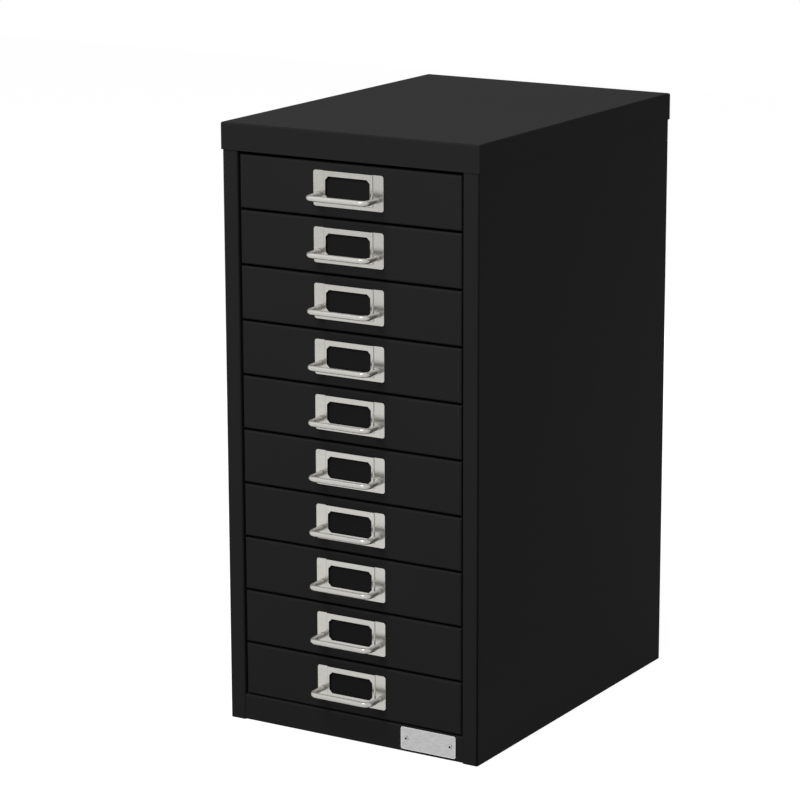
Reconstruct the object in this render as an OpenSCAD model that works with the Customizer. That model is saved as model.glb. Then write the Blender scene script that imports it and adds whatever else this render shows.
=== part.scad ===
// Small metal drawer cabinet: a welded sheet-steel carcass with ten shallow drawers.
// Millimetres. X points right, Y to the back and Z up.
// The origin is on the floor, at the centre of the carcass.

/* [Cabinet] */
// Width over the top cap
cabinet_w = 283; // [250:1:330]
// Depth over the top cap, front to back
cabinet_d = 384; // [350:1:450]
// Thickness of the steel sheet
sheet = 0.8; // [0.6:0.1:1.2]
// Inside radius of the folds that show
fold_inside = 1; // [0.6:0.1:2]
// Inside radius of the tight folds in runners and trays
tight_inside = 0.4; // [0.3:0.05:0.6]
// Thickness of the paint film that the label plates and the badge plate sit on
paint_film = 0.06; // [0.04:0.01:0.12]
// Depth of the top cap's skirt
cap_skirt = 26.5; // [20:0.5:40]
// Width of each front stile
stile_w = 16.8; // [14:0.2:24]
// How far the stile's inner return runs back
stile_return = 15; // [14:0.5:20]
// Width of the rear flanges
rear_flange_w = 14; // [10:1:25]

/* [Base] */
// Height of the plinth rail
plinth_h = 26; // [24:0.5:40]
// Height of the base pan's rim
base_rim_h = 12; // [8:0.5:16]

/* [Drawer fronts] */
// Number of drawers
drawer_count = 10; // [4:1:10]
// Height of a drawer front
front_h = 51.5; // [46:0.5:70]
// Gap between one front and the next
row_gap = 2.5; // [1.5:0.1:4]
// Gap between the cap's skirt and the top front
top_gap = 3.5; // [1.5:0.1:5]
// Gap between the bottom front and the plinth rail
bottom_gap = 1.5; // [1:0.1:4]
// Gap between a front and each stile
side_gap = 2; // [1.5:0.1:3.5]
// How far the fronts sit behind the stiles' face
front_recess = 1.5; // [0.5:0.1:3]
// Depth of the rim folded back round a front
front_rim = 12; // [11:0.5:12.5]

/* [Drawer trays] */
// From a front's top edge down to the tray's lips
tray_drop = 6.9; // [6:0.1:10]
// Width of the lip on each side of a tray
lip_w = 9.3; // [8.5:0.1:12]
// Width of the hem turned under each lip
lip_hem = 6; // [5:0.5:6.5]
// Space between the trays and the back panel
tray_rear_gap = 23.5; // [18:0.5:60]
// Width of the hem on a tray's rear wall
rear_hem = 6; // [4:0.5:10]
// Width of the flanges welded to the back of a front
weld_flange = 8; // [6:0.5:10]

/* [Runners] */
// How far the runners' backs sit outside the stiles' inner edges
runner_setback = 1.5; // [1:0.1:2]
// Play above a lip in its runner
lip_play = 2.8; // [2.4:0.1:3.5]
// How far a drawer slides out
drawer_travel = 285; // [180:5:290]
// Side clearance of a lip in its runner, and of a runner's edge beside the tray
slide_gap = 0.7; // [0.4:0.1:1]
// Space between the runners' ends and the back panel
runner_rear_gap = 14; // [8:0.5:17]
// Width of the uprights that carry the runners
upright_w = 25; // [16:1:40]
// Width of an upright's feet
upright_foot = 9; // [6:0.5:9]
// From the stile's return to the front upright, and from the rear flange to the rear one
upright_inset = 12; // [10:1:30]

/* [Label plate] */
// From a leg of the pull out to the label plate's edge
plate_side = 6; // [5:0.1:12]
// Height of the label plate
plate_h = 34.2; // [33:0.2:38]
// Thickness of the label plate
plate_t = 0.8; // [0.6:0.1:0.8]
// Corner radius of the label plate
plate_corner = 2.5; // [1:0.1:4]
// How far the plate's centre sits above the front's centre
plate_rise = 1.3; // [0:0.1:3]
// From a leg of the pull in to the step of the plate's raised middle
leg_to_step = 5.7; // [4:0.1:8]
// How far the middle is raised, which is the card slot's depth
card_slot = 1.5; // [1.4:0.1:2]
// From the plate's lower edge up to the step that closes the raised middle below
pocket_floor = 4; // [3:0.1:5]
// From the step in to the label window
window_side = 2.3; // [2:0.1:8]
// Height of the label window
window_h = 21.3; // [15:0.1:22]
// How far the window's centre sits above the plate's centre
window_rise = 1.35; // [0:0.05:2]
// Size of the window's cut corners
window_chamfer = 3.4; // [1:0.1:5]

/* [Bail pull] */
// Diameter of the round bar
bar_d = 5.2; // [5:0.1:6]
// Distance between the pull's two legs
leg_spacing = 65; // [50:0.5:90]
// From the label plate to the middle of the bar
pull_reach = 22; // [16:0.5:30]
// Radius of the bar's bends, to the middle of the bar
pull_bend_r = 6.5; // [4:0.5:8]
// How far the pull sits below the plate's centre
pull_drop = 6.4; // [2:0.1:8]
// Diameter of the threaded studs
stud_d = 4; // [3:0.5:4]
// Distance across the flats of a nut
nut_flats = 7; // [6.5:0.1:8]
// Thickness of a nut
nut_t = 3.2; // [2:0.1:4]
// How far a stud stands out of its nut
stud_end = 1; // [0.5:0.1:3]

/* [Badge plate] */
// Width of the badge plate
badge_w = 60.6; // [40:0.2:80]
// Height of the badge plate
badge_h = 22.3; // [14:0.1:24]
// Thickness of the badge plate
badge_t = 0.8; // [0.5:0.1:1.2]
// Corner radius of the badge plate
badge_corner = 2; // [0.5:0.1:4]
// From the badge plate's edge to the right stile
badge_inset = 7.2; // [3:0.1:30]
// From the badge plate's top edge up to the plinth rail's
badge_drop = 0.65; // [0.3:0.05:1.5]
// Distance between the two rivets
rivet_spacing = 48.7; // [25:0.1:54]
// Diameter of a rivet's shank
rivet_d = 3; // [2.4:0.1:3.4]
// Diameter of a rivet's head
rivet_head_d = 4.4; // [4:0.1:6]
// Height of a rivet's head
rivet_head_h = 0.9; // [0.5:0.1:1.5]
// Diameter of the hole through a rivet
rivet_hole_d = 1.6; // [1:0.1:1.8]

/* [Hidden] */
$fn = 48;
cut = 1;

// Carcass, measured from the centre
body_x = cabinet_w / 2 - sheet;
body_y = cabinet_d / 2 - sheet;
wall_x = body_x - sheet;
opening_x = body_x - stile_w;
half_sheet = sheet / 2;
pitch = front_h + row_gap;
fronts_h = drawer_count * front_h + (drawer_count - 1) * row_gap;
opening_h = bottom_gap + fronts_h + top_gap;
cabinet_h = plinth_h + opening_h + cap_skirt;
carcass_top = cabinet_h - sheet - fold_inside;
plinth_y = -body_y + sheet;
base_front_y = -body_y + stile_return;
base_rear_y = body_y - sheet - fold_inside;
back_y = body_y - 2 * sheet;
back_x = wall_x - fold_inside;

// Drawer fronts
front_x = opening_x - side_gap;
front_y = -body_y + front_recess;
skin_y = front_y + sheet;
rim_y = front_y + front_rim;

// Runners and the tray lips that slide in them
closed_gap = 0.3;
runner_x = opening_x - runner_setback;
lip_x = runner_x - sheet - slide_gap;
tray_x = lip_x - lip_w;
ledge_x = tray_x + slide_gap;
guard_x = ledge_x + 1;
lip_t = 2 * sheet;
channel_h = lip_t + lip_play;
lip_top = front_h - tray_drop;
ledge_z = lip_top - lip_t;
tray_rear_y = back_y - tray_rear_gap;
runner_front_y = rim_y + closed_gap;
runner_rear_y = back_y - runner_rear_gap;

// Stops: an ear on each lip meets a tab lanced down from the runner
ear_headroom = 0.6;
tab_headroom = 1.2;
ear_h = lip_play - ear_headroom;
tab_h = lip_play - tab_headroom;
ear_w = 4.5;
ear_y = tray_rear_y - sheet;
stop_gap = 0.5;
tab_y = ear_y - drawer_travel - stop_gap - sheet;
tab_slot = 3;
ear_x = (ledge_x + lip_x) / 2;

// Uprights
upright_x = runner_x + sheet;
upright_end_gap = 8;
upright_z = base_rim_h + upright_end_gap;
upright_top = carcass_top - upright_end_gap;
upright_front_y = -body_y + stile_return + upright_inset;
upright_rear_y = body_y - rear_flange_w - upright_inset;

// Label plate and pull
plate_z = front_h / 2 + plate_rise;
plate_y = front_y - paint_film - plate_t;
plate_fold = 0.3;
pull_z = plate_z - pull_drop;
bar_y = plate_y - pull_reach;
bar_r = bar_d / 2;
leg_x = leg_spacing / 2;
plate_w = leg_spacing + 2 * plate_side;
raised_w = leg_spacing - 2 * leg_to_step;
window_w = raised_w - 2 * window_side;
stud_r = stud_d / 2;
stud_hole_r = stud_r + 0.1;
nut_hole_r = stud_r + 0.05;
stud_y = skin_y + nut_t + stud_end;

// Badge plate
badge_x = opening_x - badge_inset - badge_w / 2;
badge_seat = badge_t + paint_film;
badge_y = plinth_y - badge_seat;
badge_z = plinth_h - badge_drop - badge_h / 2;
rivet_hole_r = rivet_d / 2 + 0.05;
rivet_tail_h = 0.7;
rivet_tail_flare = 0.4;
rivet_mouth = 0.3;

black_paint = [0.2, 0.2, 0.2];
bright_nickel = [0.76, 0.75, 0.72];
bare_aluminium = [0.77, 0.77, 0.77];
zinc_plate = [0.62, 0.63, 0.65];

function two_digits(k) = k < 10 ? str("0", k) : str(k);
function drawer_node(k, piece) = str("drawer_", two_digits(k), "_", piece);
// Height of the bottom edge of front k, where front 1 is the top one
function front_z(k) = plinth_h + bottom_gap + (drawer_count - k) * pitch;

CARCASS = [
    "top_cap", "left_side", "right_side", "back_panel", "base_pan",
    "plinth_rail", "left_runner_rack", "right_runner_rack", "badge_plate", "badge_rivets"
];
DRAWER = ["tray", "front", "label_plate", "bail_pull", "nuts"];

// ---- Sheet metal ----

// Runs a section drawn in X and Z from y0 to y1
module along_y(y0, y1) {
    translate([0, y1, 0])
        rotate([90, 0, 0])
            linear_extrude(y1 - y0) children();
}

// Runs a section drawn in Y and Z from x0 to x1
module along_x(x0, x1) {
    translate([x0, 0, 0])
        rotate([90, 0, 90])
            linear_extrude(x1 - x0) children();
}

// One right-angled fold: a quarter ring between the directions d0, coming in, and d1, going out
module fold(corner, d0, d1, inside) {
    outside = inside + sheet;
    centre = corner + (d1 - d0) * (inside + half_sheet);
    intersection() {
        translate(centre) difference() {
            circle(outside);
            circle(inside);
        }
        polygon([centre, centre + d0 * outside, centre + (d0 - d1) * outside, centre - d1 * outside]);
    }
}

// The section of a folded sheet. The points follow its middle and turn only by right angles.
module folded(points, inside) {
    last = len(points) - 1;
    middle_r = inside + half_sheet;
    way = [for (i = [0 : last - 1]) (points[i + 1] - points[i]) / norm(points[i + 1] - points[i])];
    for (i = [0 : last - 1]) {
        a = points[i] + (i > 0 ? way[i] * middle_r : [0, 0]);
        b = points[i + 1] - (i < last - 1 ? way[i] * middle_r : [0, 0]);
        translate((a + b) / 2)
            rotate(atan2(way[i].y, way[i].x))
                square([norm(b - a), sheet], center = true);
    }
    for (i = [1 : last - 1])
        fold(points[i], way[i - 1], way[i], inside);
}

// A rectangle that stands on the X axis with its upper corners rounded
module arch(w, h, r) {
    translate([-w / 2, 0]) square([w, h - r]);
    translate([-w / 2 + r, 0]) square([w - 2 * r, h]);
    for (side = [-1, 1])
        translate([side * (w / 2 - r), h - r]) circle(r);
}

module rounded_rect(w, h, r) {
    square([w - 2 * r, h], center = true);
    square([w, h - 2 * r], center = true);
    for (x = [-1, 1], y = [-1, 1])
        translate([x * (w / 2 - r), y * (h / 2 - r)]) circle(r);
}

// A block with rounded upper edges, such as one pair of crossing bends leaves
module fold_block(w, d, h, r) {
    intersection() {
        along_y(-d / 2, d / 2) arch(w, h, r);
        along_x(-w / 2, w / 2) arch(d, h, r);
    }
}

// A sheet with its four edges folded down, its face at the height h and its rim at 0
module pan(w, d, h) {
    difference() {
        fold_block(w, d, h, fold_inside + sheet);
        translate([0, 0, -cut])
            fold_block(w - 2 * sheet, d - 2 * sheet, h - sheet + cut, fold_inside);
    }
}

// ---- Carcass ----

module top_cap() {
    color(black_paint)
        translate([0, 0, cabinet_h - cap_skirt])
            pan(cabinet_w, cabinet_d, cap_skirt);
}

// Inner return, stile, wall and rear flange of the left side, folded from one sheet
module left_side() {
    return_x = -opening_x - half_sheet;
    side_x = -body_x + half_sheet;
    face_y = body_y - half_sheet;
    color(black_paint)
        linear_extrude(carcass_top)
            folded([
                [return_x, -body_y + stile_return],
                [return_x, -face_y],
                [side_x, -face_y],
                [side_x, face_y],
                [-body_x + rear_flange_w, face_y]
            ], fold_inside);
}

module right_side() {
    mirror([1, 0, 0]) left_side();
}

module back_panel() {
    color(black_paint)
        translate([-back_x, back_y, 0])
            cube([2 * back_x, sheet, carcass_top]);
}

module base_pan() {
    base_d = base_rear_y - base_front_y;
    color(black_paint)
        translate([0, base_front_y + base_d / 2, base_rim_h])
            mirror([0, 0, 1])
                pan(2 * wall_x, base_d, base_rim_h);
}

module plinth_rail() {
    middle_y = plinth_y + half_sheet;
    color(black_paint)
        difference() {
            along_x(-opening_x, opening_x)
                folded([
                    [base_front_y, plinth_h - half_sheet],
                    [middle_y, plinth_h - half_sheet],
                    [middle_y, half_sheet],
                    [base_front_y, half_sheet]
                ], fold_inside);
            at_rivets() cylinder(r = rivet_hole_r, h = 2 * (sheet + cut), center = true);
        }
}

// ---- Runner racks ----

// Hat-section upright, welded to the side wall by its feet
module upright(y) {
    foot_x = -wall_x + half_sheet;
    web_x = -upright_x + half_sheet;
    near_y = y - upright_w / 2 + half_sheet;
    far_y = y + upright_w / 2 - half_sheet;
    translate([0, 0, upright_z])
        linear_extrude(upright_top - upright_z)
            folded([
                [foot_x, near_y - upright_foot],
                [foot_x, near_y],
                [web_x, near_y],
                [web_x, far_y],
                [foot_x, far_y],
                [foot_x, far_y + upright_foot]
            ], tight_inside);
}

// C-section runner: the tray's lip slides on its ledge, under its guard
module runner() {
    web_x = -runner_x + half_sheet;
    ledge_mid_z = ledge_z - half_sheet;
    guard_z = ledge_z + channel_h;
    difference() {
        along_y(runner_front_y, runner_rear_y)
            folded([
                [-ledge_x, ledge_mid_z],
                [web_x, ledge_mid_z],
                [web_x, guard_z + half_sheet],
                [-guard_x, guard_z + half_sheet]
            ], tight_inside);
        translate([-ear_x - ear_w / 2, tab_y - tab_slot, guard_z - cut])
            cube([ear_w, tab_slot, sheet + 2 * cut]);
    }
    translate([-ear_x - ear_w / 2, tab_y, guard_z - tab_h])
        cube([ear_w, sheet, tab_h + half_sheet]);
}

module left_runner_rack() {
    color(black_paint) {
        upright(upright_front_y + upright_w / 2);
        upright(upright_rear_y - upright_w / 2);
        for (k = [1 : drawer_count])
            translate([0, 0, front_z(k)]) runner();
    }
}

module right_runner_rack() {
    mirror([1, 0, 0]) left_runner_rack();
}

// ---- Badge plate ----

module at_rivets() {
    for (side = [-1, 1])
        translate([badge_x + side * rivet_spacing / 2, plinth_y, badge_z])
            rotate([90, 0, 0])
                children();
}

module badge_plate() {
    color(bare_aluminium)
        difference() {
            translate([badge_x, 0, badge_z])
                along_y(badge_y, badge_y + badge_t)
                    rounded_rect(badge_w, badge_h, badge_corner);
            at_rivets() cylinder(r = rivet_hole_r, h = 2 * (badge_seat + cut), center = true);
        }
}

// Hollow rivet: domed head in front, shank through plate and rail, rolled tail behind
module rivet() {
    bore_r = rivet_hole_d / 2;
    shank_r = rivet_d / 2;
    mouth_r = bore_r + rivet_mouth;
    dome_w = rivet_head_d / 2 - mouth_r;
    tail_z = -sheet - rivet_tail_h;
    rotate_extrude()
        polygon(concat(
            [[bore_r, tail_z], [shank_r, tail_z], [shank_r + rivet_tail_flare, tail_z + rivet_tail_h / 2]],
            [[shank_r + rivet_tail_flare, -sheet], [shank_r, -sheet], [shank_r, badge_seat]],
            [for (a = [0 : 15 : 90]) [mouth_r + dome_w * cos(a), badge_seat + rivet_head_h * sin(a)]],
            [[bore_r, badge_seat + rivet_head_h - rivet_mouth]]
        ));
}

module badge_rivets() {
    color(bare_aluminium)
        at_rivets() rivet();
}

// ---- Drawers ----

// The tray's section: bottom and walls, with or without the lips that turn out at the top
module tray_section(lips) {
    wall_mid = tray_x - half_sheet;
    floor_mid = sheet + half_sheet;
    lip_mid = lip_top - half_sheet;
    hem_x = lip_x - sheet;
    ends = lips ? [[-hem_x, lip_mid], [hem_x, lip_mid]] : [[-wall_mid, lip_top], [wall_mid, lip_top]];
    folded(concat(
        [ends[0]],
        lips ? [[-wall_mid, lip_mid]] : [],
        [[-wall_mid, floor_mid], [wall_mid, floor_mid]],
        lips ? [[wall_mid, lip_mid]] : [],
        [ends[1]]
    ), tight_inside);
    if (lips)
        for (side = [-1, 1])
            mirror([side < 0 ? 1 : 0, 0])
                hem(hem_x);
}

// Hem turned under a lip, with a round nose
module hem(x) {
    translate([x - lip_hem, ledge_z]) square([lip_hem, sheet + half_sheet]);
    translate([x, ledge_z + sheet]) circle(sheet);
}

// The tray's lengthways section: front weld flange, bottom, rear wall and the hem on its top
module tray_ends_section() {
    front_mid = skin_y + half_sheet;
    rear_mid = tray_rear_y - half_sheet;
    floor_mid = sheet + half_sheet;
    folded([
        [front_mid, floor_mid + weld_flange],
        [front_mid, floor_mid],
        [rear_mid, floor_mid],
        [rear_mid, lip_top - sheet]
    ], tight_inside);
    translate([tray_rear_y - 2 * sheet, lip_top - rear_hem]) square([lip_t, rear_hem - sheet]);
    translate([tray_rear_y - sheet, lip_top - sheet]) circle(sheet);
}

// The tray's outline from the side, with its lower corners rounded like its bends
module tray_outline() {
    tray_l = tray_rear_y - skin_y;
    translate([skin_y + tray_l / 2, front_h])
        mirror([0, 1])
            arch(tray_l, front_h - sheet, tight_inside + sheet);
}

module drawer_tray(k) {
    lipless_y = runner_front_y;
    inner_x = tray_x - half_sheet;
    color(black_paint)
        translate([0, 0, front_z(k)]) {
            intersection() {
                union() {
                    along_y(skin_y, lipless_y) tray_section(lips = false);
                    along_y(lipless_y, tray_rear_y) tray_section(lips = true);
                }
                along_x(-lip_x, lip_x) tray_outline();
            }
            along_x(-inner_x, inner_x) tray_ends_section();
            for (side = [-1, 1]) {
                translate([side * (tray_x - weld_flange / 2), skin_y + half_sheet, lip_top / 2])
                    cube([weld_flange, sheet, lip_top - 2 * weld_flange], center = true);
                translate([side * ear_x - ear_w / 2, ear_y, lip_top - half_sheet])
                    cube([ear_w, sheet, ear_h + half_sheet]);
            }
        }
}

module at_studs() {
    for (side = [-1, 1])
        translate([side * leg_x, 0, pull_z])
            rotate([90, 0, 0])
                children();
}

module drawer_front(k) {
    color(black_paint)
        translate([0, 0, front_z(k)])
            difference() {
                translate([0, rim_y, front_h / 2])
                    rotate([90, 0, 0])
                        pan(2 * front_x, front_h, front_rim);
                translate([0, front_y, 0])
                    at_studs() cylinder(r = stud_hole_r, h = 2 * (sheet + cut), center = true);
            }
}

// The space behind a stepped face, seen along the step: it is high before the step at 0 and low
// past it. Its wall has a bend of one radius at the top and another at the foot.
module stepped(before, past, back, low, high, wall, top_r, foot_r) {
    translate([-before, high + top_r]) square([before + wall, back - high - top_r]);
    translate([-before, high]) square([before + wall - top_r, back - high]);
    translate([-before, low]) square([before + past, back - low]);
    translate([wall - top_r, high + top_r]) circle(top_r);
    translate([wall, low - foot_r])
        difference() {
            square(foot_r);
            translate([foot_r, 0]) circle(foot_r);
        }
}

// The space behind one face of the plate. The middle is raised between the two side steps
// and above the bottom one, and it stays open at the top, where the card goes in.
module behind_plate(back, low, high, wall, top_r, foot_r) {
    step_x = raised_w / 2;
    step_z = plate_z - plate_h / 2 + pocket_floor;
    past_x = plate_w / 2 - step_x + cut;
    past_z = pocket_floor + cut;
    intersection() {
        translate([0, 0, step_z - past_z])
            linear_extrude(plate_h + 2 * cut)
                for (side = [0, 1])
                    mirror([side, 0])
                        translate([step_x, 0])
                            stepped(step_x, past_x, back, low, high, wall, top_r, foot_r);
        translate([-step_x - past_x, 0, step_z])
            rotate([0, 90, 0])
                linear_extrude(2 * (step_x + past_x))
                    stepped(plate_h - pocket_floor + cut, past_z, back, low, high, wall, top_r, foot_r);
    }
}

// The window's outline: a rectangle with its corners cut off at 45 degrees
module window_outline() {
    half_w = window_w / 2;
    half_h = window_h / 2;
    c = window_chamfer;
    polygon([
        [-half_w + c, -half_h], [half_w - c, -half_h], [half_w, -half_h + c], [half_w, half_h - c],
        [half_w - c, half_h], [-half_w + c, half_h], [-half_w, half_h - c], [-half_w, -half_h + c]
    ]);
}

module drawer_label_plate(k) {
    raised_y = plate_y - card_slot;
    back = plate_y + plate_t;
    outside_r = plate_fold + plate_t;
    color(bright_nickel)
        translate([0, 0, front_z(k)])
            difference() {
                intersection() {
                    behind_plate(back + cut, plate_y, raised_y, plate_t / 2, outside_r, plate_fold);
                    translate([0, 0, plate_z])
                        along_y(raised_y - cut, front_y + 3 * cut)
                            rounded_rect(plate_w, plate_h, plate_corner);
                }
                behind_plate(back + 2 * cut, back, raised_y + plate_t, -plate_t / 2, plate_fold, outside_r);
                translate([0, 0, plate_z + window_rise])
                    along_y(raised_y - cut, front_y + cut) window_outline();
                translate([0, front_y, 0])
                    at_studs() cylinder(r = stud_hole_r, h = 2 * (plate_t + cut), center = true);
            }
}

// Round bar bent into a bail; each leg ends in a shoulder and a thinner threaded stud
module drawer_bail_pull(k) {
    leg_l = pull_reach - pull_bend_r;
    bar_l = leg_spacing - 2 * pull_bend_r;
    color(bright_nickel)
        translate([0, 0, front_z(k)]) {
            translate([0, plate_y, 0]) at_studs() cylinder(r = bar_r, h = leg_l);
            translate([0, stud_y, 0]) at_studs() cylinder(r = stud_r, h = stud_y - plate_y);
            translate([0, bar_y, pull_z])
                rotate([0, 90, 0])
                    cylinder(r = bar_r, h = bar_l, center = true);
            for (side = [-1, 1])
                translate([side * (leg_x - pull_bend_r), bar_y + pull_bend_r, pull_z])
                    mirror([side < 0 ? 1 : 0, 0, 0])
                        rotate([0, 0, -90])
                            rotate_extrude(angle = 90)
                                translate([pull_bend_r, 0]) circle(bar_r);
        }
}

module drawer_nuts(k) {
    color(zinc_plate)
        translate([0, skin_y + nut_t, front_z(k)])
            at_studs()
                difference() {
                    cylinder(d = nut_flats / cos(30), h = nut_t, $fn = 6);
                    translate([0, 0, -cut]) cylinder(r = nut_hole_r, h = nut_t + 2 * cut);
                }
}

// ---- Assembly ----

top_cap();
left_side();
right_side();
back_panel();
base_pan();
plinth_rail();
left_runner_rack();
right_runner_rack();
badge_plate();
badge_rivets();
for (k = [1 : drawer_count]) {
    drawer_tray(k);
    drawer_front(k);
    drawer_label_plate(k);
    drawer_bail_pull(k);
    drawer_nuts(k);
}
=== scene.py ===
"""Looks of the small metal drawer cabinet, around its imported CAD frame. Lengths are in metres."""

import math

import bpy
from mathutils import Matrix, Vector


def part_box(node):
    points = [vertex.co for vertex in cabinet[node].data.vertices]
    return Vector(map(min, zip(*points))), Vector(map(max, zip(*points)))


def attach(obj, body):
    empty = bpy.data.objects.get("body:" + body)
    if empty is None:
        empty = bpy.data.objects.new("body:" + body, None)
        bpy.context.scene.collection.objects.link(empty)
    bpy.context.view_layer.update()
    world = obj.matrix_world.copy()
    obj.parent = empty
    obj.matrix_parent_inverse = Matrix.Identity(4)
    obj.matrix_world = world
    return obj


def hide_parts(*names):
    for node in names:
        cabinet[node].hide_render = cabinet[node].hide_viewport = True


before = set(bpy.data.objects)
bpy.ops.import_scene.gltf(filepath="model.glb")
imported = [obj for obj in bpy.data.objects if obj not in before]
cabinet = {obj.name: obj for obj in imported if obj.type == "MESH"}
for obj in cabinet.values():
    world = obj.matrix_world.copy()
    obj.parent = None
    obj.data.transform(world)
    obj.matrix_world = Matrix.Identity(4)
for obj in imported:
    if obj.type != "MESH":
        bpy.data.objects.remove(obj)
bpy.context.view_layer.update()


# ---- Carcass sheets ----
# Cap, two sides, back panel, base pan and plinth rail, folded from 0.8 mm
# steel and spot welded into one body. All of it is powder coated in satin
# black after welding, so the film rounds over the cut edges.

# Lengths are in metres, so one that is given in millimetres is times this.
MM = 0.001


def feed(tree, node, inputs):
    """Gives each named or numbered input of a node a value or a link."""
    for name, value in inputs.items():
        if isinstance(value, bpy.types.NodeSocket):
            tree.links.new(value, node.inputs[name])
        else:
            node.inputs[name].default_value = value


def put(tree, kind, inputs=None, **settings):
    """Adds a node with its settings and inputs."""
    made = tree.nodes.new(kind)
    for name, value in settings.items():
        setattr(made, name, value)
    feed(tree, made, inputs or {})
    return made


def maths(tree, how, a, b=0.0):
    """The result of one sum."""
    return put(tree, "ShaderNodeMath", {0: a, 1: b}, operation=how).outputs[0]


def ramp(tree, value, low=0.0, high=1.0, to_low=0.0, to_high=1.0):
    """The value carried from the span low to high onto another, and held at its ends."""
    return put(tree, "ShaderNodeMapRange", {
        "Value": value, "From Min": low, "From Max": high, "To Min": to_low, "To Max": to_high,
    }).outputs[0]


def mixed(tree, share, first, second):
    """The first colour, with this share of the second."""
    return put(
        tree, "ShaderNodeMix", {"Factor": share, 6: first, 7: second}, data_type="RGBA"
    ).outputs[2]


def split(tree, triple):
    """The X, Y and Z of a vector."""
    return put(tree, "ShaderNodeSeparateXYZ", {0: triple}).outputs


def use(tree, effect, inputs):
    """The outputs of an effect, with these inputs."""
    return put(tree, "ShaderNodeGroup", inputs, node_tree=effect).outputs


def new_effect(name, inputs, outputs):
    """An empty shader node group and its two ends."""
    effect = bpy.data.node_groups.new(name, "ShaderNodeTree")
    for label, kind, value in inputs:
        socket = effect.interface.new_socket(label, in_out="INPUT", socket_type=kind)
        socket.default_value = value
    for label in outputs:
        effect.interface.new_socket(label, in_out="OUTPUT", socket_type="NodeSocketFloat")
    given, result = effect.nodes.new("NodeGroupInput"), effect.nodes.new("NodeGroupOutput")
    return effect, given.outputs, result


# Cosine between the true normal and the one rounded over an edge: where the
# rubbing and the painted highlight start, and where they are full.
EDGE_STARTS, EDGE_FULL = 0.995, 0.86
EDGE_PATCHES, PATCH_BARE, PATCH_WORN = 90.0, 0.35, 0.65


def make_edge_highlight_and_wear():
    """Mask of the cut edges and corners, where a finish wears thin and a painted highlight lies."""
    effect, given, result = new_effect(
        "edge_highlight_and_wear",
        [("Radius", "NodeSocketFloat", 0.6 * MM), ("Patchiness", "NodeSocketFloat", 0.5)],
        ["Mask"],
    )
    rounded = put(effect, "ShaderNodeBevel", {"Radius": given["Radius"]}, samples=6)
    flat = put(effect, "ShaderNodeNewGeometry")
    along = put(
        effect, "ShaderNodeVectorMath", {0: rounded.outputs[0], 1: flat.outputs["True Normal"]},
        operation="DOT_PRODUCT",
    )
    turned = ramp(effect, along.outputs["Value"], EDGE_STARTS, EDGE_FULL)
    place = put(effect, "ShaderNodeTexCoord")
    patches = put(
        effect, "ShaderNodeTexNoise",
        {"Vector": place.outputs["Object"], "Scale": EDGE_PATCHES, "Detail": 3.0},
    )
    thinned = ramp(effect, patches.outputs[0], PATCH_BARE, PATCH_WORN)
    kept = put(
        effect, "ShaderNodeMix", {"Factor": given["Patchiness"], 2: 1.0, 3: thinned},
        data_type="FLOAT",
    )
    feed(effect, result, {"Mask": maths(effect, "MULTIPLY", turned, kept.outputs[0])})
    return effect


TONE_CLOUDS = 9.0


def make_grain():
    """Fine surface texture: a bump height, and a slow mask for slight changes of tone."""
    effect, given, result = new_effect(
        "grain",
        [
            ("Stretch", "NodeSocketVector", (1.0, 1.0, 1.0)),
            ("Coarse", "NodeSocketFloat", 500.0),
            ("Fine", "NodeSocketFloat", 3000.0),
            ("Fine Share", "NodeSocketFloat", 0.3),
        ],
        ["Height", "Tone"],
    )
    place = put(effect, "ShaderNodeTexCoord").outputs["Object"]
    spread = put(
        effect, "ShaderNodeVectorMath", {0: place, 1: given["Stretch"]}, operation="MULTIPLY"
    ).outputs[0]
    coarse = put(effect, "ShaderNodeTexNoise", {
        "Vector": spread, "Scale": given["Coarse"], "Detail": 1.5, "Roughness": 0.45,
    })
    fine = put(effect, "ShaderNodeTexNoise", {
        "Vector": spread, "Scale": given["Fine"], "Detail": 2.0,
    })
    height = put(
        effect, "ShaderNodeMix",
        {"Factor": given["Fine Share"], 2: coarse.outputs[0], 3: fine.outputs[0]},
        data_type="FLOAT",
    )
    slow = put(effect, "ShaderNodeTexNoise", {
        "Vector": place, "Scale": TONE_CLOUDS, "Detail": 4.0, "Roughness": 0.55,
    })
    feed(effect, result, {"Height": height.outputs[0], "Tone": slow.outputs[0]})
    return effect


# A face turned towards both X and Y has a large product of the two: where the
# mask of a fold starts, and where it is full.
FOLD_STARTS, FOLD_FULL = 0.1, 0.4
FOLD_TOP_SHARE, FOLD_LENGTH = 0.25, 0.5


def make_upright_fold_shade():
    """Mask of painted shade on the body's upright outer folds below a height, fading upwards."""
    effect, given, result = new_effect(
        "upright_fold_shade",
        [("Top", "NodeSocketFloat", 0.5), ("Beyond", "NodeSocketFloat", 0.1)],
        ["Mask"],
    )
    facing = split(effect, put(effect, "ShaderNodeNewGeometry").outputs["Normal"])
    size = maths(effect, "ABSOLUTE", maths(effect, "MULTIPLY", facing["X"], facing["Y"]))
    turned = ramp(effect, size, FOLD_STARTS, FOLD_FULL)
    place = split(effect, put(effect, "ShaderNodeTexCoord").outputs["Object"])
    down = maths(effect, "SUBTRACT", given["Top"], place["Z"])
    share = ramp(effect, down, high=FOLD_LENGTH, to_low=FOLD_TOP_SHARE)
    below = maths(effect, "GREATER_THAN", down, 0.0)
    outer = maths(
        effect, "GREATER_THAN", maths(effect, "ABSOLUTE", place["X"]), given["Beyond"]
    )
    within = maths(effect, "MULTIPLY", below, outer)
    kept = maths(effect, "MULTIPLY", turned, share)
    feed(effect, result, {"Mask": maths(effect, "MULTIPLY", kept, within)})
    return effect


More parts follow.
